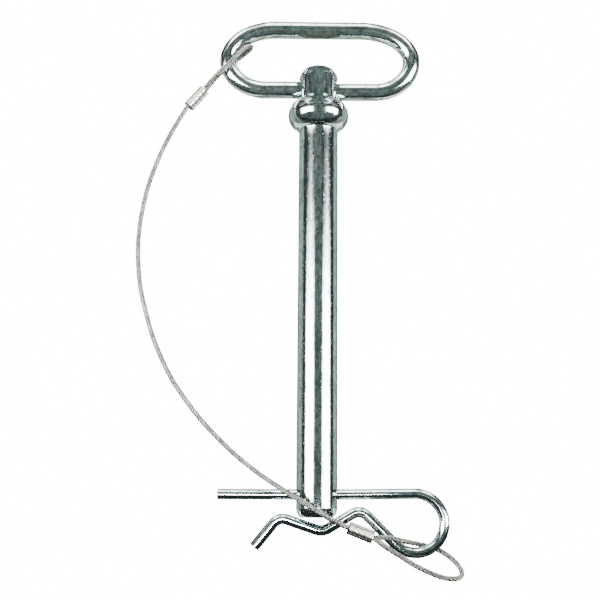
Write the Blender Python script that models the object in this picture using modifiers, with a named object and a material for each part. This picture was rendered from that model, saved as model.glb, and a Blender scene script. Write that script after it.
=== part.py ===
"""A hitch pin with a swivel handle, a hairpin clip and a wire rope lanyard.

The pin stands along Z with its head up. The origin is on its axis at the underside of the
collar, where the pin bears on a hitch. X runs along the handle and the clip's straight leg.
Dimensions are in millimetres until they become geometry.
"""

import math

import bmesh
import bpy
from mathutils import Vector

MM = 0.001

# How finely curved shapes are cut into flats
TURNED_SIDES = 56
HOLE_SIDES = 48
BARREL_SIDES = 24
DOME_STEPS = 10
COLLAR_STEPS = 18
TIP_STEPS = 7
HANDLE_BEND_STEPS = 11
BOW_STEPS = 18
CORNER_STEPS = 6
ROUTE_SHARES = 24

# Pin
SHANK_DIAMETER = 15.875
USABLE_LENGTH = 146.0
TIP_BEYOND_CLIP_HOLE = 8.8
TIP_FACE_DIAMETER = 10.5
TIP_ROUNDING_HEIGHT = 3.7
CLIP_HOLE_DIAMETER = 4.8
COLLAR_ARC_RADIUS = 7.05
COLLAR_ARC_CENTRE_RADIUS = 5.3
HEAD_TOP = 27.4
HEAD_DOME_HEIGHT = 5.0
HEAD_CROWN_RADIUS = 2.4
HANDLE_HOLE_HEIGHT = 18.0
HANDLE_HOLE_DIAMETER = 9.8
HOLE_CUTTER_LENGTH = 25.4

# Handle: a rod bent by hand, so each quarter of the loop has its own radii along X and Z, and
# its two ends meet the cross hole a little above and below the line that it turns on
HANDLE_ROD_DIAMETER = 7.1
HANDLE_TURNING_HEIGHT = 17.4
HANDLE_END_GAP = 1.6
LEFT_END_HEIGHT = 30.7
RIGHT_END_HEIGHT = 30.45
TOP_LEFT_BEND = {"start_x": -18.0, "radius_x": 19.4, "radius_z": 13.7}
BOTTOM_LEFT_BEND = {"start_x": -21.5, "radius_x": 15.9, "radius_z": 12.8}
TOP_RIGHT_BEND = {"start_x": 17.0, "radius_x": 21.35, "radius_z": 13.7}
BOTTOM_RIGHT_BEND = {"start_x": 22.9, "radius_x": 15.45, "radius_z": 13.45}

# Clip, measured from the middle of the clip hole
CLIP_WIRE_DIAMETER = 4.1
CLIP_LEG_START = -37.9
CLIP_LEG_BEND = 8.0
CLIP_LEG_RISE = 0.45
BOW_CENTRE_X = 37.5
BOW_RADIUS = 11.0
BOW_END_ANGLE = -135.0
CREST = {"corner": (16.7, -5.4), "radius": 4.5}
VALLEY = {"corner": (2.2, -14.0), "radius": 6.0}
HUMP = {"corner": (-14.4, -8.4), "radius": 4.5}
CLIP_TAIL_END = (-23.6, -19.7)

# Lanyard: each crimp sleeve has the rope's two runs one in front of the other
CABLE_DIAMETER = 1.9
FERRULE_LENGTH = 9.4
BARREL_DIAMETER = 2.8
BARREL_SPACING = 1.8
WING_WIDTH = 4.9
WING_THICKNESS = 1.8
UPPER_FERRULE_CENTRE = (-50.1, 0.0, 14.2)
UPPER_FERRULE_SLOPE = 50.0
LOWER_FERRULE_CENTRE = (16.6, -4.3, -160.1)
LOWER_FERRULE_SLOPE = -21.2
CABLE_STEP = 5.0
LOOP_STEP = 3.1

# The rope's route, in millimetres: between the two sleeves, then round each of its loops
FREE_ROUTE = [
    (-53.4, -0.9, 10.3),
    (-54.1, -0.9, 9.4),
    (-56.0, -1.1, 6.0),
    (-58.9, -1.4, 0.4),
    (-61.8, -1.8, -5.8),
    (-64.4, -2.4, -12.5),
    (-66.8, -3.0, -19.9),
    (-68.6, -3.5, -26.9),
    (-70.1, -4.0, -35.8),
    (-70.9, -4.0, -43.1),
    (-71.1, -4.0, -51.3),
    (-70.3, -4.0, -61.4),
    (-68.9, -4.0, -69.5),
    (-64.9, -4.0, -83.5),
    (-61.1, -4.0, -92.9),
    (-56.6, -4.0, -101.7),
    (-51.9, -4.0, -108.7),
    (-45.7, -4.0, -116.7),
    (-39.0, -4.0, -123.9),
    (-31.5, -4.0, -131.0),
    (-23.8, -4.3, -137.1),
    (-18.8, -5.3, -140.6),
    (-13.3, -7.2, -144.1),
    (-7.7, -9.1, -147.5),
    (-3.8, -9.7, -149.7),
    (-1.4, -9.7, -151.4),
    (1.6, -9.4, -153.1),
    (4.5, -8.3, -154.9),
    (7.1, -6.7, -156.2),
    (9.2, -5.6, -157.2),
    (10.8, -5.2, -157.9),
    (11.9, -5.2, -158.3),
]
TOP_LOOP_ROUTE = [
    (-46.8, -0.9, 18.1),
    (-45.9, -1.1, 19.2),
    (-43.5, -2.4, 21.5),
    (-39.9, -4.6, 24.3),
    (-36.3, -4.9, 27.6),
    (-34.1, -4.7, 30.5),
    (-31.8, -3.9, 33.2),
    (-29.7, -2.4, 35.7),
    (-28.1, 0.0, 37.0),
    (-28.9, 2.4, 36.7),
    (-31.4, 4.2, 35.2),
    (-34.7, 4.9, 32.8),
    (-37.7, 4.9, 30.4),
    (-40.7, 4.2, 27.3),
    (-43.6, 2.5, 23.1),
    (-45.7, 1.2, 19.6),
    (-46.8, 0.9, 18.1),
]
BOTTOM_LOOP_ROUTE = [
    (21.4, -3.4, -162.0),
    (22.3, -3.4, -162.1),
    (24.2, -3.7, -161.9),
    (26.8, -3.9, -161.9),
    (29.8, -3.9, -162.5),
    (32.8, -3.2, -163.2),
    (35.9, -1.4, -163.8),
    (37.6, 0.2, -164.1),
    (39.2, 2.0, -164.5),
    (41.2, 3.0, -164.9),
    (43.3, 3.5, -165.4),
    (45.9, 3.4, -166.3),
    (49.6, 2.5, -168.4),
    (53.2, 1.1, -171.7),
    (54.7, -0.3, -175.0),
    (52.7, -1.3, -176.8),
    (46.8, -2.6, -176.3),
    (38.5, -3.5, -172.9),
    (31.8, -3.9, -169.0),
    (25.4, -4.8, -165.0),
    (22.6, -5.2, -162.9),
    (21.4, -5.2, -162.2),
]

ZINC = (0.62, 0.68, 0.66, 1.0)
SPRING_ZINC = (0.58, 0.66, 0.65, 1.0)
CABLE_GREY = (0.42, 0.43, 0.39, 1.0)
FERRULE_GREY = (0.70, 0.69, 0.66, 1.0)


def clear_scene():
    for scene_object in list(bpy.data.objects):
        bpy.data.objects.remove(scene_object, do_unlink=True)


def new_collection(name, hidden=False):
    collection = bpy.data.collections.new(name)
    collection.hide_render = hidden
    bpy.context.scene.collection.children.link(collection)
    return collection


def new_material(name, colour, roughness, metallic):
    material = bpy.data.materials.new(name)
    material.use_nodes = True
    surface = material.node_tree.nodes["Principled BSDF"]
    surface.inputs["Base Color"].default_value = colour
    surface.inputs["Roughness"].default_value = roughness
    surface.inputs["Metallic"].default_value = metallic
    return material


def place(scene_object, location, parent):
    """Puts the object at a world place, in millimetres, under an unrotated parent."""
    world = Vector(location) * MM
    scene_object.parent = parent
    scene_object.location = world - parent.location if parent else world


def new_axis_empty(name, location, collection):
    empty = bpy.data.objects.new(name, None)
    empty.empty_display_size = 0.02
    collection.objects.link(empty)
    place(empty, location, None)
    return empty


def new_mesh_object(name, shape, collection, smooth=True):
    mesh = bpy.data.meshes.new(name)
    shape.to_mesh(mesh)
    shape.free()
    for face in mesh.polygons:
        face.use_smooth = smooth
    mesh_object = bpy.data.objects.new(name, mesh)
    collection.objects.link(mesh_object)
    return mesh_object


def cylinder_along_x(name, diameter, length, sides, collection):
    shape = bmesh.new()
    radius = diameter / 2 * MM
    bmesh.ops.create_cone(
        shape,
        cap_ends=True,
        segments=sides,
        radius1=radius,
        radius2=radius,
        depth=length * MM,
    )
    cylinder = new_mesh_object(name, shape, collection)
    cylinder.rotation_euler = (0.0, math.radians(90), 0.0)
    return cylinder


def boolean(target, tool, operation):
    tool.display_type = "WIRE"
    modifier = target.modifiers.new(operation.title() + "_" + tool.name, "BOOLEAN")
    modifier.operation = operation
    modifier.solver = "EXACT"
    modifier.object = tool


def arc(centre, radii, start_degrees, end_degrees, steps):
    """Points of an elliptical arc in the XZ plane, both ends included."""
    points = []
    for step in range(steps + 1):
        angle = math.radians(start_degrees + (end_degrees - start_degrees) * step / steps)
        x = centre[0] + radii[0] * math.cos(angle)
        z = centre[1] + radii[1] * math.sin(angle)
        points.append((x, z))
    return points


def pin_profile():
    """The pin's outline from the middle of its head down to the middle of its tip."""
    shank_radius = SHANK_DIAMETER / 2
    tip = -USABLE_LENGTH - TIP_BEYOND_CLIP_HOLE
    face_radius = TIP_FACE_DIAMETER / 2
    dome_centre = (HEAD_CROWN_RADIUS, HEAD_TOP - HEAD_DOME_HEIGHT)
    dome_radii = (shank_radius - HEAD_CROWN_RADIUS, HEAD_DOME_HEIGHT)
    reach = shank_radius - COLLAR_ARC_CENTRE_RADIUS
    half_angle = math.degrees(math.acos(reach / COLLAR_ARC_RADIUS))
    half_height = COLLAR_ARC_RADIUS * math.sin(math.radians(half_angle))
    collar_centre = (COLLAR_ARC_CENTRE_RADIUS, half_height)
    collar_radii = (COLLAR_ARC_RADIUS, COLLAR_ARC_RADIUS)
    tip_centre = (face_radius, tip + TIP_ROUNDING_HEIGHT)
    tip_radii = (shank_radius - face_radius, TIP_ROUNDING_HEIGHT)
    profile = [(0.0, HEAD_TOP)]
    profile += arc(dome_centre, dome_radii, 90, 0, DOME_STEPS)
    profile += arc(collar_centre, collar_radii, half_angle, -half_angle, COLLAR_STEPS)
    profile += arc(tip_centre, tip_radii, 0, -90, TIP_STEPS)
    profile.append((0.0, tip))
    return profile


def make_pin(collection, cutters):
    shape = bmesh.new()
    corners = [shape.verts.new((x * MM, 0.0, z * MM)) for x, z in pin_profile()]
    for upper, lower in zip(corners, corners[1:]):
        shape.edges.new((upper, lower))
    pin = new_mesh_object("hitch_pin", shape, collection)
    screw = pin.modifiers.new("Turned outline", "SCREW")
    screw.angle = math.tau
    screw.steps = TURNED_SIDES
    screw.render_steps = TURNED_SIDES
    screw.use_merge_vertices = True
    screw.merge_threshold = 0.00001
    screw.use_smooth_shade = True
    holes = [
        ("handle_hole", HANDLE_HOLE_DIAMETER, HANDLE_HOLE_HEIGHT),
        ("clip_hole", CLIP_HOLE_DIAMETER, -USABLE_LENGTH),
    ]
    for name, diameter, height in holes:
        cutter = cylinder_along_x(name, diameter, HOLE_CUTTER_LENGTH, HOLE_SIDES, cutters)
        place(cutter, (0.0, 0.0, height), None)
        boolean(pin, cutter, "DIFFERENCE")
    pin.data.materials.append(new_material("zinc_plated_steel", ZINC, 0.28, 1.0))
    return pin


def tube(name, points, diameter, collection, material, parent, resolution):
    """A wire or rope along the points, given in millimetres in the world."""
    curve = bpy.data.curves.new(name, "CURVE")
    curve.dimensions = "3D"
    curve.bevel_depth = diameter / 2 * MM
    curve.bevel_resolution = resolution
    curve.use_fill_caps = True
    spline = curve.splines.new("POLY")
    spline.points.add(len(points) - 1)
    origin = parent.location if parent else Vector((0.0, 0.0, 0.0))
    for spline_point, point in zip(spline.points, points):
        spline_point.co = (*(Vector(point) * MM - origin), 1.0)
    spline.use_smooth = True
    wire = bpy.data.objects.new(name, curve)
    collection.objects.link(wire)
    wire.parent = parent
    curve.materials.append(material)
    return wire


def handle_points():
    bends = [
        (BOTTOM_LEFT_BEND, LEFT_END_HEIGHT, -90, -180),
        (TOP_LEFT_BEND, LEFT_END_HEIGHT, 180, 90),
        (TOP_RIGHT_BEND, RIGHT_END_HEIGHT, 90, 0),
        (BOTTOM_RIGHT_BEND, RIGHT_END_HEIGHT, 0, -90),
    ]
    outline = []
    for bend, height, start, end in bends:
        centre = (bend["start_x"], height)
        radii = (bend["radius_x"], bend["radius_z"])
        bend_points = arc(centre, radii, start, end, HANDLE_BEND_STEPS)
        if start in (180, 0):
            bend_points = bend_points[1:]
        outline += bend_points
    left_end = (-HANDLE_END_GAP / 2, outline[0][1])
    right_end = (HANDLE_END_GAP / 2, outline[-1][1])
    return [(x, 0.0, z) for x, z in [left_end] + outline + [right_end]]


def rounded_corner(before, corner, after, radius):
    """Points of the arc that rounds a corner between two straight stretches."""
    middle = Vector(corner)
    to_before = (Vector(before) - middle).normalized()
    to_after = (Vector(after) - middle).normalized()
    half_angle = to_before.angle(to_after) / 2
    bisector = (to_before + to_after).normalized()
    centre = middle + bisector * radius / math.sin(half_angle)
    start = middle + to_before * radius / math.tan(half_angle) - centre
    end = middle + to_after * radius / math.tan(half_angle) - centre
    turn = math.remainder(math.atan2(end.y, end.x) - math.atan2(start.y, start.x), math.tau)
    points = []
    for step in range(CORNER_STEPS + 1):
        angle = math.atan2(start.y, start.x) + turn * step / CORNER_STEPS
        points.append((centre.x + radius * math.cos(angle), centre.y + radius * math.sin(angle)))
    return points


def clip_points():
    bow_centre = (BOW_CENTRE_X, CLIP_LEG_RISE - BOW_RADIUS)
    bow_radii = (BOW_RADIUS, BOW_RADIUS)
    bow = arc(bow_centre, bow_radii, 90, BOW_END_ANGLE, BOW_STEPS)
    outline = [(CLIP_LEG_START, 0.0), (CLIP_LEG_BEND, 0.0)] + bow
    corners = [bow[-1], CREST["corner"], VALLEY["corner"], HUMP["corner"], CLIP_TAIL_END]
    radii = [CREST["radius"], VALLEY["radius"], HUMP["radius"]]
    for before, corner, after, radius in zip(corners, corners[1:], corners[2:], radii):
        outline += rounded_corner(before, corner, after, radius)
    outline.append(CLIP_TAIL_END)
    return [(x, 0.0, z - USABLE_LENGTH) for x, z in outline]


def smooth_route(route, step):
    """Points about one step apart on a smooth curve through the route's points."""
    knots = [Vector(point) for point in route]
    knots = [2 * knots[0] - knots[1]] + knots + [2 * knots[-1] - knots[-2]]
    fine = []
    for before, start, end, after in zip(knots, knots[1:], knots[2:], knots[3:]):
        for number in range(ROUTE_SHARES):
            share = number / ROUTE_SHARES
            bend = (end - before) * share + (2 * before - 5 * start + 4 * end - after) * share**2
            bend += (3 * start - before - 3 * end + after) * share**3
            fine.append(start + bend / 2)
    fine.append(knots[-2])
    lengths = [0.0]
    for start, end in zip(fine, fine[1:]):
        lengths.append(lengths[-1] + (end - start).length)
    count = round(lengths[-1] / step)
    points = []
    index = 0
    for number in range(count + 1):
        wanted = lengths[-1] * number / count
        while index < len(fine) - 2 and lengths[index + 1] < wanted:
            index += 1
        span = lengths[index + 1] - lengths[index]
        points.append(fine[index].lerp(fine[index + 1], (wanted - lengths[index]) / span))
    return points


def make_ferrule(name, centre, slope, parent, collection, cutters, material):
    """A crimp sleeve: two barrels side by side in depth, with the flat wings of the crimp."""
    solids = []
    for number, side in enumerate((-1, 1)):
        group = collection if number == 0 else cutters
        solid_name = name if number == 0 else name + "_back_barrel"
        solid = cylinder_along_x(
            solid_name,
            BARREL_DIAMETER,
            FERRULE_LENGTH,
            BARREL_SIDES,
            group,
        )
        spot = (centre[0], centre[1] + side * BARREL_SPACING / 2, centre[2])
        place(solid, spot, parent)
        solids.append(solid)
    wings = cylinder_along_x(name + "_wings", WING_WIDTH, FERRULE_LENGTH, BARREL_SIDES, cutters)
    wings.scale = (1.0, WING_THICKNESS / WING_WIDTH, 1.0)
    place(wings, centre, parent)
    for solid in solids + [wings]:
        solid.rotation_euler = (0.0, math.radians(90 - slope), 0.0)
    for tool in (wings, solids[1]):
        boolean(solids[0], tool, "UNION")
    solids[0].data.materials.append(material)
    return solids[0]


def main():
    clear_scene()
    collection = new_collection("hitch_pin_with_lanyard")
    cutters = new_collection("cutters", hidden=True)
    handle_axis = new_axis_empty("handle_axis", (0.0, 0.0, HANDLE_TURNING_HEIGHT), collection)
    clip_axis = new_axis_empty("clip_axis", (0.0, 0.0, -USABLE_LENGTH), collection)
    make_pin(collection, cutters)

    handle_zinc = new_material("handle_zinc", ZINC, 0.25, 1.0)
    clip_zinc = new_material("clip_zinc", SPRING_ZINC, 0.22, 1.0)
    tube(
        "swivel_handle",
        handle_points(),
        HANDLE_ROD_DIAMETER,
        collection,
        handle_zinc,
        handle_axis,
        6,
    )
    tube("hairpin_clip", clip_points(), CLIP_WIRE_DIAMETER, collection, clip_zinc, clip_axis, 5)

    cords = [
        ("lanyard_cable", FREE_ROUTE, CABLE_STEP, None),
        ("lanyard_loop_top", TOP_LOOP_ROUTE, LOOP_STEP, handle_axis),
        ("lanyard_loop_bottom", BOTTOM_LOOP_ROUTE, LOOP_STEP, clip_axis),
    ]
    for name, route, step, parent in cords:
        rope = new_material(name + "_rope", CABLE_GREY, 0.45, 1.0)
        tube(name, smooth_route(route, step), CABLE_DIAMETER, collection, rope, parent, 2)

    ferrules = [
        ("ferrule_upper", UPPER_FERRULE_CENTRE, UPPER_FERRULE_SLOPE, handle_axis),
        ("ferrule_lower", LOWER_FERRULE_CENTRE, LOWER_FERRULE_SLOPE, clip_axis),
    ]
    for name, centre, slope, parent in ferrules:
        sleeve = new_material(name + "_sleeve", FERRULE_GREY, 0.35, 1.0)
        make_ferrule(name, centre, slope, parent, collection, cutters, sleeve)


main()
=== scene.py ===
"""The looks of the hitch pin: fine meshes, plated metal and twisted rope on the CAD frame.

Places and sizes are in millimetres until they become geometry. The origin is on the pin's
axis at the underside of its collar bead, +Z is up the pin and -Y is towards the viewer.
"""
import math

import bmesh
import bpy
from mathutils import Euler, Matrix, Vector


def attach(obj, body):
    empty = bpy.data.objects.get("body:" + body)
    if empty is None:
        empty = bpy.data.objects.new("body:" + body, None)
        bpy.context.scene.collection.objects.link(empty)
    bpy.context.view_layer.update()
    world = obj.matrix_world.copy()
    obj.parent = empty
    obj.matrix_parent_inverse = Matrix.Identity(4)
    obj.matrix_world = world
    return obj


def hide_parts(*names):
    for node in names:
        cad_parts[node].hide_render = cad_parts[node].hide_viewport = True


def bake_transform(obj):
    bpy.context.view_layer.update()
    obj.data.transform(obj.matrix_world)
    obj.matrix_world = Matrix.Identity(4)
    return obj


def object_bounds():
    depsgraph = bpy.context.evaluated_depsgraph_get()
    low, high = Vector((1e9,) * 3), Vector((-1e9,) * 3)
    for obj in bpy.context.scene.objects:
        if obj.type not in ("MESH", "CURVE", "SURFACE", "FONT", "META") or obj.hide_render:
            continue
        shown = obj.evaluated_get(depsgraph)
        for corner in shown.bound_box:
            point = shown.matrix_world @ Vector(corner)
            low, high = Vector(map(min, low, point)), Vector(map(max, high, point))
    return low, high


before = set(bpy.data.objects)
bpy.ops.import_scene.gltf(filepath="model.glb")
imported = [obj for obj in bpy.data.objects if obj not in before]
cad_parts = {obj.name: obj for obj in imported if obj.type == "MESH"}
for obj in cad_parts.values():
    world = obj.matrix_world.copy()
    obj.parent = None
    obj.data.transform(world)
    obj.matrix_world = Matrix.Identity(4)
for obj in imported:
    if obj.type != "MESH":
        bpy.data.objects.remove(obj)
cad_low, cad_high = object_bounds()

MM = 0.001

# How finely shapes are drawn
PIN_SIDES = 192
ROD_SIDES = 40
WIRE_SIDES = 32
ROUTE_SHARES = 24
FERRULE_SIDES = 72
FERRULE_RINGS = 48

# Pin
SHANK_RADIUS = 15.875 / 2
TIP_HEIGHT = -154.8
TIP_FACE_RADIUS = 5.25
TIP_ROUNDING = 3.7
COLLAR_RADIUS = 7.05
COLLAR_CENTRE_RADIUS = 5.3
HEAD_TOP = 27.4
HEAD_DOME_HEIGHT = 5.0
HEAD_CROWN_RADIUS = 2.4
HANDLE_HOLE_RADIUS = 4.9
HANDLE_HOLE_HEIGHT = 18.0
CLIP_HOLE_RADIUS = 2.4
CLIP_HOLE_HEIGHT = -146.0
HOLE_CUTTER_LENGTH = 26.0
HOLE_CUTTER_SIDES = 96
HOLE_RIM_BEVEL = 0.28
NECK_FILLET = 0.7
SHANK_STEPS = 40

# Handle, a quarter of its loop at a time
HANDLE_ROD_RADIUS = 3.55
HANDLE_END_GAP = 1.6
HANDLE_END_CHAMFER = 0.5
HANDLE_STEP = 0.9
LEFT_END_HEIGHT = 30.7
RIGHT_END_HEIGHT = 30.45
TOP_LEFT_BEND = {"start_x": -18.0, "radius_x": 19.4, "radius_z": 13.7}
BOTTOM_LEFT_BEND = {"start_x": -21.5, "radius_x": 15.9, "radius_z": 12.8}
TOP_RIGHT_BEND = {"start_x": 17.0, "radius_x": 21.35, "radius_z": 13.7}
BOTTOM_RIGHT_BEND = {"start_x": 22.9, "radius_x": 15.45, "radius_z": 13.45}

# Clip, measured from the middle of the clip hole
CLIP_WIRE_RADIUS = 2.05
CLIP_END_CHAMFER = 0.15
CLIP_STEP = 0.7
CLIP_LEG_START = -37.9
CLIP_LEG_BEND = 8.0
CLIP_LEG_RISE = 0.45
BOW_CENTRE_X = 37.5
BOW_RADIUS = 11.0
BOW_END_ANGLE = -135.0
CREST = {"corner": (16.7, -5.4), "radius": 4.5}
VALLEY = {"corner": (2.2, -14.0), "radius": 6.0}
HUMP = {"corner": (-14.4, -8.4), "radius": 4.5}
CLIP_TAIL_END = (-23.6, -19.7)

# Rope: six strands round a core, each of them seven wires
STRAND_CREST_DIAMETER = 2.04
STRANDS = 6
STRAND_POINTS = 8
STRAND_REACH_DEGREES = 120.0
WIRES_PER_STRAND = 6
ROPE_LAY = 12.0
WIRE_LAY = 5.5
ROPE_STEP = 0.55

# Where the free run's two pieces meet and the rope stays with the pin
BLEND_REST = (-70.3, -4.0, -61.4)

# Camera, fitted to the photo's view
CAMERA_LENS = 63.8
CAMERA_SENSOR = 36.0
CAMERA_SHIFT = (-0.0293, 0.0027)
CAMERA_PLACE = (0.0, -412.0, -154.8)
CAMERA_PITCH_DEGREES = 101.5
CAMERA_ROLL_DEGREES = 0.26

# Light: how bright the studio shows in reflections, and the plain backdrop to the camera.
# The flags are screens over the head, the strips are low lights with their power in watts.
BOX_STRENGTH = 40.0
BACKDROP_STRENGTH = 16.0
FLOOR_REFLECTED_STRENGTH = 2.5
FLOOR_RADIUS = 700.0
FLOOR_DROP = 8.0
TEAL = (0.80, 1.0, 0.97)
FLAG_HEIGHT = 31.0
HEAD_FLAG = {"half_width": 9.5, "half_depth": 24.0, "centre_y": -10.0}
COLLAR_FLAG = {"half_width": 21.0, "half_depth": 9.5, "centre_y": -26.5}
STRIP_DISTANCE = 120.0
STRIP_SPREAD_DEGREES = 50
STRIP_LEFT = {"start_x": -75.0, "end_x": 0.0, "height": -174.0, "width": 22.0, "power": 0.05}
STRIP_RIGHT = {"start_x": 10.0, "end_x": 36.0, "height": -164.0, "width": 10.0, "power": 0.003}

# Metal surfaces: how fine each pattern is, in features per metre
CLOUD_SCALE = 160
CRYSTAL_SCALE = 900
SPECK_SCALE = 1900
RUB_SCALE = 420
WAVE_SCALE = 95
ROPE_CLOUD_SCALE = 260
SLEEVE_CLOUD_SCALE = 420

# The wave texture's scale that gives one band for each unit of the rope's UV map
ONE_BAND_PER_WIRE = 0.31416

# Sleeves crimped on the rope
FERRULE_LENGTH = 10.0
BARREL_RADIUS = 1.45
BARREL_OFFSET = 0.9
RIDGE_RADIUS = 0.78
RIDGE_OFFSET = 1.67
MOUTH_RADIUS = 1.22
MOUTH_DEPTH = 1.4
MOUTH_EDGE = 0.12
CRIMP_MARKS = (0.27, 0.5, 0.73)
CRIMP_DEPTH = 0.10
CRIMP_WIDTH = 0.035
RIDGE_CRIMP_SHARE = 0.4
END_FLARE = 0.10
END_FLARE_SHARE = 0.06
DOT_HEIGHT = 0.07
DOTS = 13
ROPE_IN_MOUTH = 0.8
UPPER_FERRULE = {"centre": (-50.1, 0.0, 14.2), "slope": 50.0}
LOWER_FERRULE = {"centre": (16.6, -4.3, -160.1), "slope": -21.2}

# One broken wire that stands up from the rope in front of the pin's tip
STRAY_WIRE_RADIUS = 0.2
STRAY_WIRE_SIDES = 8
STRAY_WIRE_STEP = 0.4
STRAY_WIRE_CHAMFER = 0.02
STRAY_WIRE = [
    (-1.3, -9.6, -150.7),
    (-2.2, -9.4, -149.2),
    (-3.2, -9.2, -146.8),
    (-3.7, -9.0, -143.8),
]

# The rope's route, in millimetres, as the CAD part has it
FREE_ROUTE = [
    (-53.4, -0.9, 10.3),
    (-54.1, -0.9, 9.4),
    (-56.0, -1.1, 6.0),
    (-58.9, -1.4, 0.4),
    (-61.8, -1.8, -5.8),
    (-64.4, -2.4, -12.5),
    (-66.8, -3.0, -19.9),
    (-68.6, -3.5, -26.9),
    (-70.1, -4.0, -35.8),
    (-70.9, -4.0, -43.1),
    (-71.1, -4.0, -51.3),
    (-70.3, -4.0, -61.4),
    (-68.9, -4.0, -69.5),
    (-64.9, -4.0, -83.5),
    (-61.1, -4.0, -92.9),
    (-56.6, -4.0, -101.7),
    (-51.9, -4.0, -108.7),
    (-45.7, -4.0, -116.7),
    (-39.0, -4.0, -123.9),
    (-31.5, -4.0, -131.0),
    (-23.8, -4.3, -137.1),
    (-18.8, -5.3, -140.6),
    (-13.3, -7.2, -144.1),
    (-7.7, -9.1, -147.5),
    (-3.8, -9.7, -149.7),
    (-1.4, -9.7, -151.4),
    (1.6, -9.4, -153.1),
    (4.5, -8.3, -154.9),
    (7.1, -6.7, -156.2),
    (9.2, -5.6, -157.2),
    (10.8, -5.2, -157.9),
    (11.9, -5.2, -158.3),
]
TOP_LOOP_ROUTE = [
    (-46.8, -0.9, 18.1),
    (-45.9, -1.1, 19.2),
    (-43.5, -2.4, 21.5),
    (-39.9, -4.6, 24.3),
    (-36.3, -4.9, 27.6),
    (-34.1, -4.7, 30.5),
    (-31.8, -3.9, 33.2),
    (-29.7, -2.4, 35.7),
    (-28.1, 0.0, 37.0),
    (-28.9, 2.4, 36.7),
    (-31.4, 4.2, 35.2),
    (-34.7, 4.9, 32.8),
    (-37.7, 4.9, 30.4),
    (-40.7, 4.2, 27.3),
    (-43.6, 2.5, 23.1),
    (-45.7, 1.2, 19.6),
    (-46.8, 0.9, 18.1),
]
BOTTOM_LOOP_ROUTE = [
    (21.4, -3.4, -162.0),
    (22.3, -3.4, -162.1),
    (24.2, -3.7, -161.9),
    (26.8, -3.9, -161.9),
    (29.8, -3.9, -162.5),
    (32.8, -3.2, -163.2),
    (35.9, -1.4, -163.8),
    (37.6, 0.2, -164.1),
    (39.2, 2.0, -164.5),
    (41.2, 3.0, -164.9),
    (43.3, 3.5, -165.4),
    (45.9, 3.4, -166.3),
    (49.6, 2.5, -168.4),
    (53.2, 1.1, -171.7),
    (54.7, -0.3, -175.0),
    (52.7, -1.3, -176.8),
    (46.8, -2.6, -176.3),
    (38.5, -3.5, -172.9),
    (31.8, -3.9, -169.0),
    (25.4, -4.8, -165.0),
    (22.6, -5.2, -162.9),
    (21.4, -5.2, -162.2),
]


# ---------------------------------------------------------------- shapes


def arc(centre, radii, start_degrees, end_degrees, step_degrees=4.0):
    """Points of an elliptical arc, both ends included."""
    steps = max(2, round(abs(end_degrees - start_degrees) / step_degrees))
    points = []
    for step in range(steps + 1):
        angle = math.radians(start_degrees + (end_degrees - start_degrees) * step / steps)
        x = centre[0] + radii[0] * math.cos(angle)
        z = centre[1] + radii[1] * math.sin(angle)
        points.append((x, z))
    return points


def smooth_route(route, step):
    """Points about one step apart on a smooth curve through the route's points."""
    knots = [Vector(point) for point in route]
    knots = [2 * knots[0] - knots[1]] + knots + [2 * knots[-1] - knots[-2]]
    fine = []
    for before, start, end, after in zip(knots, knots[1:], knots[2:], knots[3:]):
        for number in range(ROUTE_SHARES):
            share = number / ROUTE_SHARES
            bend = (end - before) * share + (2 * before - 5 * start + 4 * end - after) * share**2
            bend += (3 * start - before - 3 * end + after) * share**3
            fine.append(start + bend / 2)
    fine.append(knots[-2])
    lengths = [0.0]
    for start, end in zip(fine, fine[1:]):
        lengths.append(lengths[-1] + (end - start).length)
    count = max(2, round(lengths[-1] / step))
    points = []
    index = 0
    for number in range(count + 1):
        wanted = lengths[-1] * number / count
        while index < len(fine) - 2 and lengths[index + 1] < wanted:
            index += 1
        span = lengths[index + 1] - lengths[index]
        points.append(fine[index].lerp(fine[index + 1], (wanted - lengths[index]) / span))
    return points


def route_length(points):
    return sum((Vector(b) - Vector(a)).length for a, b in zip(points, points[1:]))


def directions(points):
    """For each point the route's direction and two directions across it that don't twist."""
    tangents = []
    for index in range(len(points)):
        before = points[max(index - 1, 0)]
        after = points[min(index + 1, len(points) - 1)]
        tangents.append((after - before).normalized())
    side = Vector((0.0, 1.0, 0.0))
    side = (side - tangents[0] * side.dot(tangents[0])).normalized()
    result = []
    for tangent in tangents:
        side = (side - tangent * side.dot(tangent)).normalized()
        result.append((tangent, side, tangent.cross(side)))
    return result


def loft(name, rings):
    """A mesh through rings of points in millimetres, with a flat cap on each end."""
    shape = bmesh.new()
    rows = [[shape.verts.new(point * MM) for point in ring] for ring in rings]
    count = len(rows[0])
    for row, following in zip(rows, rows[1:]):
        for index in range(count):
            other = (index + 1) % count
            shape.faces.new((row[index], row[other], following[other], following[index]))
    shape.faces.new(list(reversed(rows[0])))
    shape.faces.new(rows[-1])
    bmesh.ops.recalc_face_normals(shape, faces=shape.faces)
    return mesh_object(name, shape)


def mesh_object(name, shape, sharp_degrees=35.0):
    mesh = bpy.data.meshes.new(name)
    shape.to_mesh(mesh)
    shape.free()
    mesh.shade_smooth()
    mesh.set_sharp_from_angle(angle=math.radians(sharp_degrees))
    piece = bpy.data.objects.new(name, mesh)
    bpy.context.scene.collection.objects.link(piece)
    return piece


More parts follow.
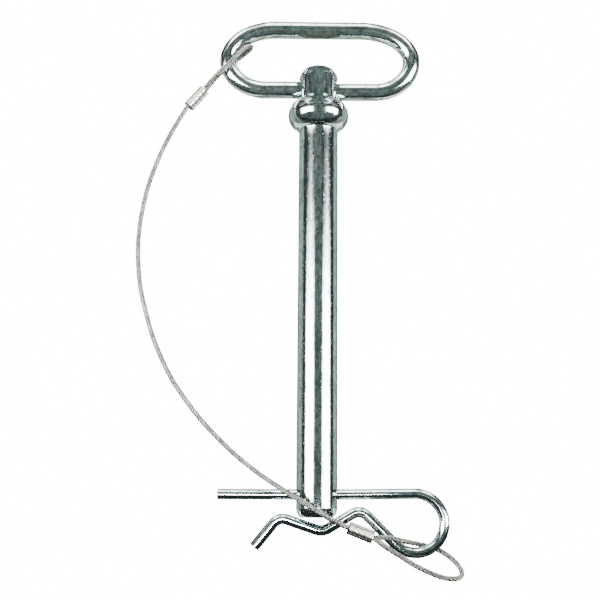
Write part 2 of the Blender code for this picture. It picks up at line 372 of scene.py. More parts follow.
def rod(name, points, radius, sides, chamfer):
    """A round rod along the points, with its ends cut square and lightly chamfered."""
    frames = directions(points)
    rings = []

    def ring(centre, across, up, size):
        circle = []
        for number in range(sides):
            angle = math.tau * number / sides
            circle.append(centre + (across * math.cos(angle) + up * math.sin(angle)) * size)
        return circle

    first, last = frames[0], frames[-1]
    rings.append(ring(points[0], first[1], first[2], radius - chamfer))
    rings.append(ring(points[0] + first[0] * chamfer, first[1], first[2], radius))
    for point, (_, across, up) in zip(points[1:-1], frames[1:-1]):
        rings.append(ring(point, across, up, radius))
    rings.append(ring(points[-1] - last[0] * chamfer, last[1], last[2], radius))
    rings.append(ring(points[-1], last[1], last[2], radius - chamfer))
    return loft(name, rings)


def pin_profile():
    """The pin's outline from its crown down to the rim of its tip."""
    dome_centre = (HEAD_CROWN_RADIUS, HEAD_TOP - HEAD_DOME_HEIGHT)
    dome_radii = (SHANK_RADIUS - HEAD_CROWN_RADIUS, HEAD_DOME_HEIGHT)
    reach = SHANK_RADIUS - COLLAR_CENTRE_RADIUS
    half_angle = math.degrees(math.acos(reach / COLLAR_RADIUS))
    collar_height = COLLAR_RADIUS * math.sin(math.radians(half_angle))
    collar_centre = (COLLAR_CENTRE_RADIUS, collar_height)
    collar_radii = (COLLAR_RADIUS, COLLAR_RADIUS)
    # A small hollow fillet touches both the collar's arc and the straight side
    away = math.acos((reach + NECK_FILLET) / (COLLAR_RADIUS + NECK_FILLET))
    rise = (COLLAR_RADIUS + NECK_FILLET) * math.sin(away)
    fillet_radii = (NECK_FILLET, NECK_FILLET)
    turn = math.degrees(away)
    upper = (SHANK_RADIUS + NECK_FILLET, collar_height + rise)
    lower = (SHANK_RADIUS + NECK_FILLET, collar_height - rise)
    tip_centre = (TIP_FACE_RADIUS, TIP_HEIGHT + TIP_ROUNDING)
    tip_radii = (SHANK_RADIUS - TIP_FACE_RADIUS, TIP_ROUNDING)
    profile = arc(dome_centre, dome_radii, 90, 0, 5.0)
    profile += arc(upper, fillet_radii, 180, 180 + turn, 15.0)
    profile += arc(collar_centre, collar_radii, turn, -turn, 4.0)
    profile += arc(lower, fillet_radii, 180 - turn, 180, 15.0)
    top_of_shank = profile[-1][1]
    for step in range(1, SHANK_STEPS):
        share = step / SHANK_STEPS
        profile.append((SHANK_RADIUS, top_of_shank + (tip_centre[1] - top_of_shank) * share))
    profile += arc(tip_centre, tip_radii, 0, -90, 9.0)
    return profile


def cutter_along_x(name, radius, height):
    cutter_shape = bmesh.new()
    bmesh.ops.create_cone(
        cutter_shape,
        cap_ends=True,
        segments=HOLE_CUTTER_SIDES,
        radius1=radius * MM,
        radius2=radius * MM,
        depth=HOLE_CUTTER_LENGTH * MM,
        matrix=Matrix.Translation((0.0, 0.0, height * MM)) @ Matrix.Rotation(math.pi / 2, 4, "Y"),
    )
    return mesh_object(name, cutter_shape)


def make_pin():
    rings = []
    for radius, height in pin_profile():
        ring = []
        for number in range(PIN_SIDES):
            angle = math.tau * number / PIN_SIDES
            ring.append(Vector((radius * math.cos(angle), radius * math.sin(angle), height)))
        rings.append(ring)
    pin = loft("pin_turned", rings)
    cutters = [
        cutter_along_x("handle_hole", HANDLE_HOLE_RADIUS, HANDLE_HOLE_HEIGHT),
        cutter_along_x("clip_hole", CLIP_HOLE_RADIUS, CLIP_HOLE_HEIGHT),
    ]
    for cutter in cutters:
        cut = pin.modifiers.new("Cut_" + cutter.name, "BOOLEAN")
        cut.operation = "DIFFERENCE"
        cut.solver = "EXACT"
        cut.object = cutter
    bevel = pin.modifiers.new("Rims", "BEVEL")
    bevel.limit_method = "ANGLE"
    bevel.angle_limit = math.radians(48)
    bevel.width = HOLE_RIM_BEVEL * MM
    bevel.segments = 2
    depsgraph = bpy.context.evaluated_depsgraph_get()
    mesh = bpy.data.meshes.new_from_object(pin.evaluated_get(depsgraph), depsgraph=depsgraph)
    pin.modifiers.clear()
    pin.data = mesh
    mesh.shade_smooth()
    mesh.set_sharp_from_angle(angle=math.radians(32))
    for cutter in cutters:
        bpy.data.objects.remove(cutter, do_unlink=True)
    return pin


def handle_route():
    bends = [
        (BOTTOM_LEFT_BEND, LEFT_END_HEIGHT, -90, -180),
        (TOP_LEFT_BEND, LEFT_END_HEIGHT, 180, 90),
        (TOP_RIGHT_BEND, RIGHT_END_HEIGHT, 90, 0),
        (BOTTOM_RIGHT_BEND, RIGHT_END_HEIGHT, 0, -90),
    ]
    outline = []
    for bend, height, start, end in bends:
        points = arc((bend["start_x"], height), (bend["radius_x"], bend["radius_z"]), start, end)
        outline += points[1:] if start in (180, 0) else points
    left_end = (-HANDLE_END_GAP / 2, outline[0][1])
    right_end = (HANDLE_END_GAP / 2, outline[-1][1])
    route = [(x, 0.0, z) for x, z in [left_end] + outline + [right_end]]
    return smooth_route(route, HANDLE_STEP)


def rounded_corner(before, corner, after, radius):
    """Points of the arc that rounds a corner between two straight stretches."""
    middle = Vector(corner)
    to_before = (Vector(before) - middle).normalized()
    to_after = (Vector(after) - middle).normalized()
    half_angle = to_before.angle(to_after) / 2
    centre = middle + (to_before + to_after).normalized() * radius / math.sin(half_angle)
    start = middle + to_before * radius / math.tan(half_angle) - centre
    end = middle + to_after * radius / math.tan(half_angle) - centre
    start_angle = math.atan2(start.y, start.x)
    turn = math.remainder(math.atan2(end.y, end.x) - start_angle, math.tau)
    first = math.degrees(start_angle)
    return arc(centre, (radius, radius), first, first + math.degrees(turn))


def clip_route():
    bow_centre = (BOW_CENTRE_X, CLIP_LEG_RISE - BOW_RADIUS)
    bow = arc(bow_centre, (BOW_RADIUS, BOW_RADIUS), 90, BOW_END_ANGLE)
    outline = [(CLIP_LEG_START, 0.0), (CLIP_LEG_BEND, 0.0)] + bow
    corners = [bow[-1], CREST["corner"], VALLEY["corner"], HUMP["corner"], CLIP_TAIL_END]
    radii = [CREST["radius"], VALLEY["radius"], HUMP["radius"]]
    for before, corner, after, radius in zip(corners, corners[1:], corners[2:], radii):
        outline += rounded_corner(before, corner, after, radius)
    outline.append(CLIP_TAIL_END)
    straight = []
    for start, end in zip(outline, outline[1:]):
        gap = math.dist(start, end)
        shares = max(1, round(gap / 2.0)) if gap > 3.0 else 1
        for number in range(shares):
            share = number / shares
            straight.append(
                (start[0] + (end[0] - start[0]) * share, start[1] + (end[1] - start[1]) * share)
            )
    straight.append(outline[-1])
    return smooth_route([(x, 0.0, z + CLIP_HOLE_HEIGHT) for x, z in straight], CLIP_STEP)


def rope_outline():
    """One turn round the rope: each strand's outer side, as (angle, radius, angle on strand)."""
    # Three strands side by side make the rope's width
    strand_radius = STRAND_CREST_DIAMETER / 6
    ring_radius = STRAND_CREST_DIAMETER / 2 - strand_radius
    reach = STRAND_REACH_DEGREES
    outline = []
    for strand in range(STRANDS):
        for number in range(STRAND_POINTS):
            turn = math.radians(-reach + 2 * reach * number / STRAND_POINTS)
            x = ring_radius + strand_radius * math.cos(turn)
            y = strand_radius * math.sin(turn)
            angle = math.tau * strand / STRANDS + math.atan2(y, x)
            outline.append((angle, math.hypot(x, y), turn))
    return outline


def make_rope(name, points, start_turn=0.0):
    """Twisted rope along the points. Its UV map counts wires across and millimetres along."""
    frames = directions(points)
    outline = rope_outline()
    shape = bmesh.new()
    wires = shape.loops.layers.uv.new("wires")
    rows = []
    run = [0.0]
    for start, end in zip(points, points[1:]):
        run.append(run[-1] + (end - start).length)
    for point, (_, across, up), distance in zip(points, frames, run):
        twist = start_turn + math.tau * distance / ROPE_LAY
        row = []
        for angle, radius, _ in outline:
            turn = angle + twist
            spot = point + (across * math.cos(turn) + up * math.sin(turn)) * radius
            row.append(shape.verts.new(spot * MM))
        rows.append(row)
    count = len(outline)
    turn_step = math.radians(2 * STRAND_REACH_DEGREES) / STRAND_POINTS
    for number, (row, following) in enumerate(zip(rows, rows[1:])):
        for index in range(count):
            other = (index + 1) % count
            face = shape.faces.new((row[index], row[other], following[other], following[index]))
            start_angle = outline[index][2]
            angles = (start_angle, start_angle + turn_step, start_angle + turn_step, start_angle)
            places = (run[number], run[number], run[number + 1], run[number + 1])
            for corner, wire_angle, place in zip(face.loops, angles, places):
                wire = WIRES_PER_STRAND * wire_angle / math.tau - place / WIRE_LAY
                corner[wires].uv = (wire, place)
    shape.faces.new(list(reversed(rows[0])))
    shape.faces.new(rows[-1])
    bmesh.ops.recalc_face_normals(shape, faces=shape.faces)
    return mesh_object(name, shape, sharp_degrees=70.0)


def exit_distance(direction, centre, radius):
    """How far from the middle a ray leaves a circle, or nothing if it misses."""
    along = direction.dot(centre)
    across = centre.length_squared - along * along
    if across > radius * radius:
        return 0.0
    return along + math.sqrt(radius * radius - across)


def sleeve_section(share, dotted):
    """The sleeve's outline at a share of its length: two barrels in depth and two side ridges."""
    flare = END_FLARE * max(0.0, 1 - min(share, 1 - share) / END_FLARE_SHARE)
    crimp = 0.0
    for mark in CRIMP_MARKS:
        crimp += CRIMP_DEPTH * math.exp(-(((share - mark) / CRIMP_WIDTH) ** 2))
    dots = DOT_HEIGHT * math.sin(math.tau * share * DOTS) if dotted else 0.0
    circles = [
        (Vector((0.0, -BARREL_OFFSET)), BARREL_RADIUS + flare - crimp),
        (Vector((0.0, BARREL_OFFSET)), BARREL_RADIUS + flare - crimp),
        (Vector((-RIDGE_OFFSET, 0.0)), RIDGE_RADIUS - RIDGE_CRIMP_SHARE * crimp),
        (Vector((RIDGE_OFFSET, 0.0)), RIDGE_RADIUS - RIDGE_CRIMP_SHARE * crimp + dots),
    ]
    outline = []
    for number in range(FERRULE_SIDES):
        angle = math.tau * number / FERRULE_SIDES
        direction = Vector((math.cos(angle), math.sin(angle)))
        outline.append(direction * max(exit_distance(direction, c, r) for c, r in circles))
    return outline


def mouth_section():
    outline = []
    centres = (Vector((0.0, -BARREL_OFFSET)), Vector((0.0, BARREL_OFFSET)))
    for number in range(FERRULE_SIDES):
        angle = math.tau * number / FERRULE_SIDES
        direction = Vector((math.cos(angle), math.sin(angle)))
        outline.append(direction * max(exit_distance(direction, c, MOUTH_RADIUS) for c in centres))
    return outline


def make_ferrule(name, sleeve, dotted):
    """A crimped sleeve along its slope, with an open mouth at each end."""
    slope = math.radians(sleeve["slope"])
    along = Vector((math.cos(slope), 0.0, math.sin(slope)))
    across = Vector((-math.sin(slope), 0.0, math.cos(slope)))
    depth = Vector((0.0, 1.0, 0.0))
    centre = Vector(sleeve["centre"])
    half = FERRULE_LENGTH / 2
    edge = MOUTH_EDGE

    def ring(outline, distance, shrink=0.0):
        middle = centre + along * distance
        points = []
        for point in outline:
            size = (point.length - shrink) / point.length
            points.append(middle + (across * point.x + depth * point.y) * size)
        return points

    mouth = mouth_section()
    rings = [ring(mouth, -half + MOUTH_DEPTH), ring(mouth, -half + edge)]
    rings.append(ring(mouth, -half, -edge))
    for number in range(FERRULE_RINGS + 1):
        share = number / FERRULE_RINGS
        outline = sleeve_section(share, dotted)
        if number in (0, FERRULE_RINGS):
            rings.append(ring(outline, -half + FERRULE_LENGTH * share, edge))
            share = edge / FERRULE_LENGTH if number == 0 else 1 - edge / FERRULE_LENGTH
            ends = ring(outline, -half + FERRULE_LENGTH * share)
            rings.insert(len(rings) if number == 0 else len(rings) - 1, ends)
        else:
            rings.append(ring(outline, -half + FERRULE_LENGTH * share))
    rings.append(ring(mouth, half, -edge))
    rings += [ring(mouth, half - edge), ring(mouth, half - MOUTH_DEPTH)]
    return map_sleeve(loft(name, rings))


def map_sleeve(piece):
    """A UV map: across is the share of a turn round the sleeve, up is the share of its length."""
    mouth_rings = 3
    outer_rings = FERRULE_RINGS + 2
    places = piece.data.uv_layers.new(name="sleeve").data
    for polygon in piece.data.polygons:
        spots = [divmod(vertex, FERRULE_SIDES) for vertex in polygon.vertices]
        sides = [side for _, side in spots]
        wraps = 0 in sides and FERRULE_SIDES - 1 in sides
        for loop, (row, side) in zip(polygon.loop_indices, spots):
            across = side + FERRULE_SIDES if wraps and side == 0 else side
            places[loop].uv = (across / FERRULE_SIDES, (row - mouth_rings) / outer_rings)
    return piece


# ---------------------------------------------------------------- materials


class Nodes:
    """Short ways to add and link the nodes of one material or world."""

    def __init__(self, tree):
        self.tree = tree

    def add(self, kind, **values):
        node = self.tree.nodes.new("ShaderNode" + kind)
        for name, value in values.items():
            setattr(node, name, value)
        return node

    def link(self, output, socket):
        self.tree.links.new(output, socket)

    def math(self, operation, first, second=None, clamp=False):
        node = self.add("Math", operation=operation, use_clamp=clamp)
        for index, value in enumerate((first, second)):
            if value is None:
                continue
            if isinstance(value, (int, float)):
                node.inputs[index].default_value = value
            else:
                self.link(value, node.inputs[index])
        return node.outputs[0]

    def ramp(self, factor, stops):
        node = self.add("ValToRGB")
        elements = node.color_ramp.elements
        while len(elements) < len(stops):
            elements.new(0.5)
        for element, (place, colour) in zip(elements, stops):
            element.position = place
            element.color = (*colour, 1.0) if isinstance(colour, tuple) else (*[colour] * 3, 1.0)
        self.link(factor, node.inputs["Fac"])
        return node.outputs["Color"]

    def noise(self, coordinates, scale, detail, roughness, stretch=None):
        if stretch:
            mapping = self.add("Mapping")
            mapping.inputs["Scale"].default_value = stretch
            self.link(coordinates, mapping.inputs["Vector"])
            coordinates = mapping.outputs[0]
        node = self.add("TexNoise")
        node.inputs["Scale"].default_value = scale
        node.inputs["Detail"].default_value = detail
        node.inputs["Roughness"].default_value = roughness
        self.link(coordinates, node.inputs["Vector"])
        return node.outputs[0]

    def cells(self, coordinates, scale):
        node = self.add("TexVoronoi")
        node.inputs["Scale"].default_value = scale
        self.link(coordinates, node.inputs["Vector"])
        return node.outputs["Color"]

    def mix(self, factor, first, second, blend="MIX"):
        node = self.add("MixRGB", blend_type=blend)
        for socket, value in zip(node.inputs, (factor, first, second)):
            if isinstance(value, (int, float)):
                socket.default_value = value
            elif isinstance(value, tuple):
                socket.default_value = (*value, 1.0)
            else:
                self.link(value, socket)
        return node.outputs[0]

    def bump(self, height, distance, strength, below=None):
        node = self.add("Bump")
        node.inputs["Distance"].default_value = distance
        node.inputs["Strength"].default_value = strength
        self.link(height, node.inputs["Height"])
        if below is not None:
            self.link(below, node.inputs["Normal"])
        return node.outputs[0]


def new_material(name):
    material = bpy.data.materials.new(name)
    material.use_nodes = True
    tree = material.node_tree
    surface = tree.nodes["Principled BSDF"]
    return material, Nodes(tree), surface


def plated_steel(name, dark, light, speckle, grain, stretch, wave_height, roughness):
    """Bright zinc plating: cloudy tint, fine crystals, specks, rub marks and a wavy base."""
    material, nodes, surface = new_material(name)
    place = nodes.add("TexCoord").outputs["Object"]
    clouds = nodes.noise(place, CLOUD_SCALE, 5.0, 0.6, stretch)
    mottle = nodes.noise(place, grain, 6.0, 0.7, stretch)
    crystals = nodes.cells(place, CRYSTAL_SCALE)
    tint = nodes.ramp(clouds, [(0.36, dark), (0.62, light)])
    blotch = nodes.ramp(mottle, [(0.40, 0.38), (0.56, 1.0)])
    colour = nodes.mix(0.75, tint, blotch, "MULTIPLY")
    colour = nodes.mix(0.12, colour, crystals, "SOFT_LIGHT")
    specks = nodes.noise(place, SPECK_SCALE, 2.0, 0.5)
    speck_mask = nodes.ramp(specks, [(0.655, 0.0), (0.705, 1.0)])
    colour = nodes.mix(nodes.math("MULTIPLY", speck_mask, speckle), colour, (0.93, 0.95, 0.93))
    nodes.link(colour, surface.inputs["Base Color"])
    surface.inputs["Metallic"].default_value = 1.0
    rub = nodes.noise(place, RUB_SCALE, 3.0, 0.6, (1.0, 1.0, 0.12))
    low, high = roughness
    matt = nodes.math("MULTIPLY_ADD", rub, high - low)
    matt.node.inputs[2].default_value = low
    matt = nodes.mix(nodes.math("MULTIPLY", speck_mask, speckle), matt, (0.3, 0.3, 0.3))
    nodes.link(matt, surface.inputs["Roughness"])
    waves = nodes.noise(place, WAVE_SCALE, 2.0, 0.5, stretch)
    normal = nodes.bump(waves, wave_height, 0.6)
    normal = nodes.bump(mottle, 0.00004, 0.5, normal)
    normal = nodes.bump(specks, 0.00002, 0.35, normal)
    nodes.link(normal, surface.inputs["Normal"])
    return material


def rope_steel(name, dark, light):
    """Dull rope wires, with a groove between each wire and the next from the UV map, bumped in and
    darkened in colour as painted shade.
    """
    material, nodes, surface = new_material(name)
    place = nodes.add("TexCoord").outputs["Object"]
    wires_map = nodes.add("UVMap", uv_map="wires").outputs[0]
    wave = nodes.add("TexWave", bands_direction="X", wave_profile="SIN")
    wave.inputs["Scale"].default_value = ONE_BAND_PER_WIRE
    nodes.link(wires_map, wave.inputs["Vector"])
    wires = wave.outputs["Fac"]
    cloud = nodes.noise(place, ROPE_CLOUD_SCALE, 4.0, 0.6)
    tint = nodes.ramp(cloud, [(0.35, dark), (0.65, light)])
    # Painted shade: the base colour darkens towards the grooves between the wires
    groove_shade = nodes.ramp(wires, [(0.0, 0.5), (0.45, 1.0)])
    colour = nodes.mix(0.8, tint, groove_shade, "MULTIPLY")
    nodes.link(colour, surface.inputs["Base Color"])
    surface.inputs["Metallic"].default_value = 1.0
    grime = nodes.ramp(cloud, [(0.3, 0.5), (0.7, 0.34)])
    nodes.link(grime, surface.inputs["Roughness"])
    nodes.link(nodes.bump(wires, 0.00009, 0.8), surface.inputs["Normal"])
    return material


def sleeve_metal(name, underside_shade):
    """Crimped sleeve: grey ridges, a bright barrel, and painted shade in the grooves between them,
    at the cut ends, deepest in their mouths, and on the side that faces down.
    """
    material, nodes, surface = new_material(name)
    place = nodes.add("TexCoord").outputs["Object"]
    split = nodes.add("SeparateXYZ")
    nodes.link(nodes.add("UVMap", uv_map="sleeve").outputs[0], split.inputs[0])
    cloud = nodes.noise(place, SLEEVE_CLOUD_SCALE, 5.0, 0.65)
    ridge = (0.24, 0.25, 0.225)
    # Painted shade in the creases between the ridges and the barrels, and on the sleeve's downward
    # side, whose colour is the underside shade
    groove_shade = (0.05, 0.048, 0.04)
    barrel = (0.86, 0.85, 0.80)
    tint = nodes.ramp(
        split.outputs["X"],
        [
            (0.00, ridge),
            (0.09, ridge),
            (0.11, groove_shade),
            (0.15, barrel),
            (0.32, barrel),
            (0.38, underside_shade),
            (0.62, underside_shade),
            (0.69, barrel),
            (0.85, barrel),
            (0.88, groove_shade),
            (0.91, ridge),
            (1.00, ridge),
        ],
    )
    # Painted shade: the ends darken, most of all inside the mouths
    ends = nodes.ramp(
        split.outputs["Y"],
        [(0.0, 0.02), (0.05, 0.05), (0.08, 1.0), (0.96, 1.0), (1.0, 0.4)],
    )
    worn = nodes.ramp(cloud, [(0.36, 0.6), (0.6, 1.0)])
    colour = nodes.mix(1.0, nodes.mix(1.0, tint, ends, "MULTIPLY"), worn, "MULTIPLY")
    nodes.link(colour, surface.inputs["Base Color"])
    surface.inputs["Metallic"].default_value = 1.0
    matt = nodes.ramp(cloud, [(0.3, 0.42), (0.7, 0.28)])
    nodes.link(matt, surface.inputs["Roughness"])
    nodes.link(nodes.bump(cloud, 0.00004, 0.5), surface.inputs["Normal"])
    return material


# ---------------------------------------------------------------- stage


def make_camera():
    camera = bpy.data.cameras.new("photo_camera")
    camera.lens = CAMERA_LENS
    camera.sensor_width = CAMERA_SENSOR
    camera.shift_x, camera.shift_y = CAMERA_SHIFT
    stand = bpy.data.objects.new("photo_camera", camera)
    bpy.context.scene.collection.objects.link(stand)
    stand.location = Vector(CAMERA_PLACE) * MM
    pitch = Euler((math.radians(CAMERA_PITCH_DEGREES), 0.0, 0.0)).to_matrix()
    roll = Matrix.Rotation(math.radians(CAMERA_ROLL_DEGREES), 3, "Z")
    stand.rotation_euler = (pitch @ roll).to_euler()
    bpy.context.scene.camera = stand


def level(brightness, tint=(1.0, 1.0, 1.0)):
    """The colour that shines with this brightness in a world of BOX_STRENGTH."""
    return tuple(brightness / BOX_STRENGTH * part for part in tint)


def light_from_the_sides(nodes, turn, z):
    """What the upright surfaces reflect. The turn is 0.5 in front and 0 or 1 behind."""
    edges = nodes.ramp(
        turn,
        [
            (0.00, level(0.25, TEAL)),
            (0.025, level(3.0)),
            (0.050, level(3.0)),
            (0.065, level(0.25, TEAL)),
            (0.105, level(0.25, TEAL)),
            (0.130, level(0.80, TEAL)),
            (0.215, level(0.75, TEAL)),
            (0.250, level(0.06, TEAL)),
            (0.775, level(0.06, TEAL)),
            (0.800, level(0.80, TEAL)),
            (0.870, level(0.80, TEAL)),
            (0.895, level(0.25, TEAL)),
            (0.935, level(0.25, TEAL)),
            (0.950, level(3.0)),
            (0.975, level(3.0)),
            (1.00, level(0.25, TEAL)),
        ],
    )
    core = nodes.ramp(turn, [(0.43, 0.0), (0.46, 1.0), (0.50, 0.7), (0.54, 1.0), (0.58, 0.0)])
    lifted = nodes.math("ADD", z, 0.09)
    core_glow = nodes.ramp(
        lifted,
        [
            (0.00, level(0.35, TEAL)),
            (0.06, level(0.35, TEAL)),
            (0.09, level(0.05, TEAL)),
            (0.20, level(0.22, TEAL)),
            (0.38, level(0.20, TEAL)),
            (0.44, level(0.22, TEAL)),
            (0.54, level(0.40, TEAL)),
        ],
    )
    boxes = nodes.ramp(
        turn,
        [
            (0.305, 0.0),
            (0.370, 1.0),
            (0.395, 1.0),
            (0.450, 0.0),
            (0.575, 0.0),
            (0.645, 1.0),
            (0.665, 1.0),
            (0.715, 0.0),
        ],
    )
    # The boxes look broad and crisp low on the shank, and narrow and soft near its top
    crisp = nodes.math("MULTIPLY", boxes, 2.2, clamp=True)
    soft = nodes.math("POWER", boxes, 3.5)
    boxes = nodes.mix(nodes.ramp(z, [(0.20, 0.0), (0.29, 1.0)]), crisp, soft)
    falloff = nodes.ramp(
        z, [(0.17, 1.0), (0.22, 0.5), (0.27, 0.17), (0.32, 0.026), (0.37, 0.005)]
    )
    sides = nodes.mix(1.0, core, core_glow, "MULTIPLY")
    sides = nodes.mix(1.0, sides, edges, "ADD")
    return nodes.mix(1.0, sides, nodes.mix(1.0, boxes, falloff, "MULTIPLY"), "ADD")


def light_from_above(nodes, over, x):
    """What the level surfaces reflect. Over is 0 in front, 0.5 straight up and 1 behind."""
    above = nodes.ramp(
        over,
        [
            (0.17, level(0.30, TEAL)),
            (0.23, level(0.30, TEAL)),
            (0.27, level(5.0)),
            (0.31, level(12.0)),
            (0.40, level(12.0)),
            (0.435, level(2.5)),
            (0.50, level(2.5)),
            (0.53, level(0.15, TEAL)),
            (0.66, level(0.15, TEAL)),
            (0.70, level(5.0)),
            (0.82, level(5.0)),
            (0.86, level(0.2, TEAL)),
            (1.00, level(0.6, TEAL)),
        ],
    )
    bands = nodes.ramp(
        nodes.math("ABSOLUTE", x),
        [(0.10, 1.0), (0.15, 0.25), (0.24, 0.25), (0.32, 1.0), (0.50, 1.0), (0.59, 0.05)],
    )
    return nodes.mix(1.0, above, bands, "MULTIPLY")


def make_world():
    """A white studio: soft boxes front left, front right and overhead, dark between them."""
    scene = bpy.context.scene
    world = scene.world or bpy.data.worlds.new("studio")
    scene.world = world
    world.use_nodes = True
    tree = world.node_tree
    tree.nodes.clear()
    nodes = Nodes(tree)
    split = nodes.add("SeparateXYZ")
    nodes.link(nodes.add("TexCoord").outputs["Generated"], split.inputs[0])
    x, y, z = split.outputs
    front = nodes.math("MULTIPLY", y, -1.0)
    turn = nodes.math("DIVIDE", nodes.math("ARCTAN2", x, front), math.tau)
    turn = nodes.math("ADD", turn, 0.5)
    over = nodes.math("DIVIDE", nodes.math("ARCTAN2", z, front), math.pi)
    sides = light_from_the_sides(nodes, turn, z)
    above = light_from_above(nodes, over, x)
    raised = nodes.ramp(z, [(0.42, 0.0), (0.52, 1.0)])
    studio = nodes.add("Background")
    studio.inputs["Strength"].default_value = BOX_STRENGTH
    nodes.link(nodes.mix(raised, sides, above), studio.inputs["Color"])
    backdrop = nodes.add("Background")
    backdrop.inputs["Color"].default_value = (1.0, 1.0, 1.0, 1.0)
    backdrop.inputs["Strength"].default_value = BACKDROP_STRENGTH
    mixed = nodes.add("MixShader")
    nodes.link(nodes.add("LightPath").outputs["Is Camera Ray"], mixed.inputs[0])
    nodes.link(studio.outputs[0], mixed.inputs[1])
    nodes.link(backdrop.outputs[0], mixed.inputs[2])
    nodes.link(mixed.outputs[0], nodes.add("OutputWorld").inputs["Surface"])


def make_floor():
    """A plain white floor. In reflections it is dark in front of the object and pale behind."""
    shape = bmesh.new()
    bmesh.ops.create_circle(shape, cap_ends=True, segments=96, radius=FLOOR_RADIUS * MM)
    floor = mesh_object("floor", shape)
    floor.location = (0.0, 0.0, cad_low.z - FLOOR_DROP * MM)
    material, nodes, surface = new_material("floor_white")
    nodes.tree.nodes.remove(surface)
    glow = nodes.add("Emission")
    glow.inputs["Strength"].default_value = BACKDROP_STRENGTH
    split = nodes.add("SeparateXYZ")
    nodes.link(nodes.add("TexCoord").outputs["Object"], split.inputs[0])
    depth = nodes.math("ADD", split.outputs["Y"], 0.5)
    # Painted shadow: in reflections the glowing floor is darkest under the object and just in front
    # of it, grey further in front and pale behind
    dark = (0.04, 0.045, 0.045)
    pale = (0.86, 0.95, 0.82)
    front_grey = (0.18, 0.22, 0.22)
    shade = nodes.ramp(depth, [(0.38, front_grey), (0.45, dark), (0.52, dark), (0.555, pale)])
    # Light and dark sectors behind the object, so that its back reflects bands as its front does
    sideways = nodes.math("ABSOLUTE", split.outputs["X"])
    angle = nodes.math("DIVIDE", nodes.math("ARCTAN2", sideways, split.outputs["Y"]), math.pi)
    sectors = nodes.ramp(
        angle,
        [
            (0.00, 0.40),
            (0.06, 0.40),
            (0.09, 0.12),
            (0.16, 0.12),
            (0.20, 1.00),
            (0.30, 1.00),
            (0.34, 0.15),
            (0.42, 0.15),
            (0.46, 0.40),
            (1.00, 0.40),
        ],
    )
    reflected = nodes.add("Emission")
    reflected.inputs["Strength"].default_value = FLOOR_REFLECTED_STRENGTH
    nodes.link(nodes.mix(1.0, shade, sectors, "MULTIPLY"), reflected.inputs["Color"])
    mixed = nodes.add("MixShader")
    nodes.link(nodes.add("LightPath").outputs["Is Camera Ray"], mixed.inputs[0])
    nodes.link(reflected.outputs[0], mixed.inputs[1])
    nodes.link(glow.outputs[0], mixed.inputs[2])
    nodes.link(mixed.outputs[0], nodes.tree.nodes["Material Output"].inputs["Surface"])
    floor.data.materials.append(material)


def make_flag(name, half_width, half_depth, centre_y):
    """A small screen over the head, which keeps the overhead light off its crown and collar."""
    shape = bmesh.new()
    bmesh.ops.create_circle(shape, cap_ends=True, segments=48, radius=1.0)
    bmesh.ops.scale(shape, vec=(half_width * MM, half_depth * MM, 1.0), verts=shape.verts)
    flag = mesh_object(name, shape)
    flag.location = (0.0, centre_y * MM, FLAG_HEIGHT * MM)
    material, nodes, surface = new_material(name)
    nodes.tree.nodes.remove(surface)
    top = nodes.add("Emission")
    top.inputs["Color"].default_value = (0.2, 0.23, 0.2, 1.0)
    under = nodes.add("Emission")
    under.inputs["Color"].default_value = (0.2, 0.25, 0.25, 1.0)
    mixed = nodes.add("MixShader")
    nodes.link(nodes.add("NewGeometry").outputs["Backfacing"], mixed.inputs[0])
    nodes.link(top.outputs[0], mixed.inputs[1])
    nodes.link(under.outputs[0], mixed.inputs[2])
    nodes.link(mixed.outputs[0], nodes.tree.nodes["Material Output"].inputs["Surface"])
    flag.data.materials.append(material)
    flag.visible_camera = False
    flag.visible_diffuse = False
    flag.visible_shadow = False


def make_strip_light(name, start_x, end_x, height, width, power):
    """A low strip in front of the object, which lights the front of the clip and the sleeve."""
    strip = bpy.data.lights.new(name, "AREA")
    strip.shape = "RECTANGLE"
    strip.size = (end_x - start_x) * MM
    strip.size_y = width * MM
    strip.energy = power
    strip.spread = math.radians(STRIP_SPREAD_DEGREES)
    stand = bpy.data.objects.new(name, strip)
    stand.location = Vector(((start_x + end_x) / 2, -STRIP_DISTANCE, height)) * MM
    stand.rotation_euler = (math.radians(90), 0.0, 0.0)
    bpy.context.scene.collection.objects.link(stand)


# ---------------------------------------------------------------- the object


def finish_piece(piece, material, body, slot, *nodes):
    piece.data.materials.append(material)
    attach(piece, body)
    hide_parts(*nodes)


def into_sleeves(points):
    """The route with its ends carried on into the mouths of the sleeves."""
    first = points[0] + (points[0] - points[1]).normalized() * ROPE_IN_MOUTH
    last = points[-1] + (points[-1] - points[-2]).normalized() * ROPE_IN_MOUTH
    return [first, *points, last]


def make_sleeves():
    upper = make_ferrule("sleeve_upper", UPPER_FERRULE, False)
    # The two sleeve materials differ only in their painted underside shade, light on the upper
    # sleeve and deep on the lower
    upper_metal = sleeve_metal("sleeve_upper_metal", (0.30, 0.31, 0.28))
    finish_piece(upper, upper_metal, "handle", "ferrule_metal", "ferrule_upper")
    lower = make_ferrule("sleeve_lower", LOWER_FERRULE, True)
    lower_metal = sleeve_metal("sleeve_lower_metal", (0.09, 0.082, 0.072))
    finish_piece(lower, lower_metal, "clip", "ferrule_metal", "ferrule_lower")
    return upper, lower


def finish_run(piece, material):
    piece.data.materials.append(material)
    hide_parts("lanyard_cable")


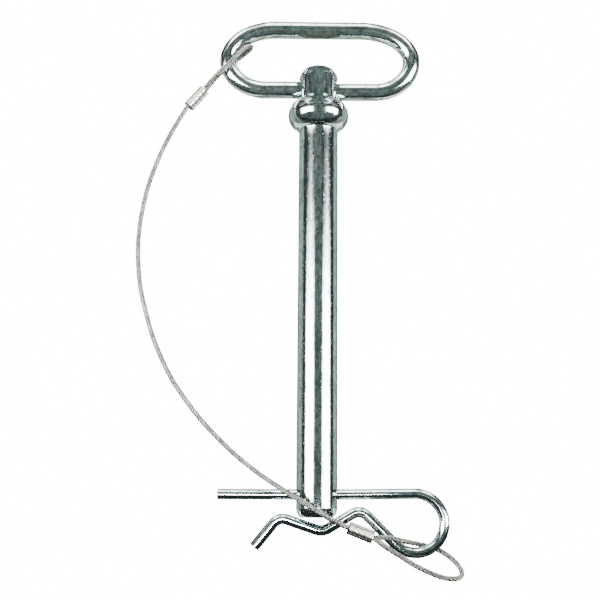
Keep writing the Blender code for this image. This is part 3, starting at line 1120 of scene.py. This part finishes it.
def make_free_run(material, upper_sleeve, lower_sleeve):
    """The run between the sleeves: two pieces of rope and the broken wire that stands up."""
    whole = into_sleeves(smooth_route(FREE_ROUTE, ROPE_STEP))
    rest = Vector(BLEND_REST)
    middle = min(range(len(whole)), key=lambda i: (whole[i] - rest).length)
    upper_points = whole[: middle + 1]
    lower_points = whole[middle:]
    twist_so_far = math.tau * route_length(upper_points) / ROPE_LAY
    upper = make_rope("rope_upper_run", upper_points)
    finish_run(upper, material)
    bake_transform(upper)
    lower = make_rope("rope_lower_run", lower_points, twist_so_far)
    finish_run(lower, material)
    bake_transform(lower)
    stray_points = smooth_route(STRAY_WIRE, STRAY_WIRE_STEP)
    stray = rod("stray_wire", stray_points, STRAY_WIRE_RADIUS, STRAY_WIRE_SIDES, STRAY_WIRE_CHAMFER)
    # The broken wire is given a much darker colour than the rope
    dark_stray = rope_steel("dark_stray_wire", (0.02, 0.021, 0.019), (0.07, 0.072, 0.066))
    finish_run(stray, dark_stray)
    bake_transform(stray)


def make_loop(name, route, material, body, node):
    points = into_sleeves(smooth_route(route, ROPE_STEP))
    loop = make_rope(name, points)
    finish_piece(loop, material, body, "wire_rope", node)


def make_lanyard():
    material = rope_steel("rope_wires", (0.14, 0.15, 0.128), (0.33, 0.345, 0.305))
    make_free_run(material, *make_sleeves())
    make_loop("rope_top_loop", TOP_LOOP_ROUTE, material, "handle", "lanyard_loop_top")
    make_loop("rope_bottom_loop", BOTTOM_LOOP_ROUTE, material, "clip", "lanyard_loop_bottom")


def make_metalwork():
    pin_material = plated_steel(
        "pin_plating",
        dark=(0.46, 0.57, 0.56),
        light=(0.72, 0.82, 0.80),
        speckle=0.8,
        grain=700,
        stretch=(1.0, 1.0, 0.45),
        wave_height=0.00008,
        roughness=(0.05, 0.13),
    )
    rod_material = plated_steel(
        "rod_plating",
        dark=(0.48, 0.58, 0.56),
        light=(0.74, 0.82, 0.79),
        speckle=0.5,
        grain=650,
        stretch=(0.5, 1.0, 1.0),
        wave_height=0.00006,
        roughness=(0.05, 0.13),
    )
    wire_material = plated_steel(
        "wire_plating",
        dark=(0.48, 0.60, 0.61),
        light=(0.72, 0.83, 0.83),
        speckle=0.2,
        grain=800,
        stretch=(0.6, 1.0, 1.0),
        wave_height=0.00004,
        roughness=(0.05, 0.12),
    )
    finish_piece(make_pin(), pin_material, "pin", "pin_zinc", "hitch_pin")
    handle = rod("handle_rod", handle_route(), HANDLE_ROD_RADIUS, ROD_SIDES, HANDLE_END_CHAMFER)
    finish_piece(handle, rod_material, "handle", "handle_zinc", "swivel_handle")
    clip = rod("clip_wire", clip_route(), CLIP_WIRE_RADIUS, WIRE_SIDES, CLIP_END_CHAMFER)
    finish_piece(clip, wire_material, "clip", "clip_zinc", "hairpin_clip")


make_camera()
make_lanyard()
make_metalwork()
make_world()
make_floor()
make_flag("head_flag", **HEAD_FLAG)
make_flag("collar_flag", **COLLAR_FLAG)
make_strip_light("strip_left", **STRIP_LEFT)
make_strip_light("strip_right", **STRIP_RIGHT)
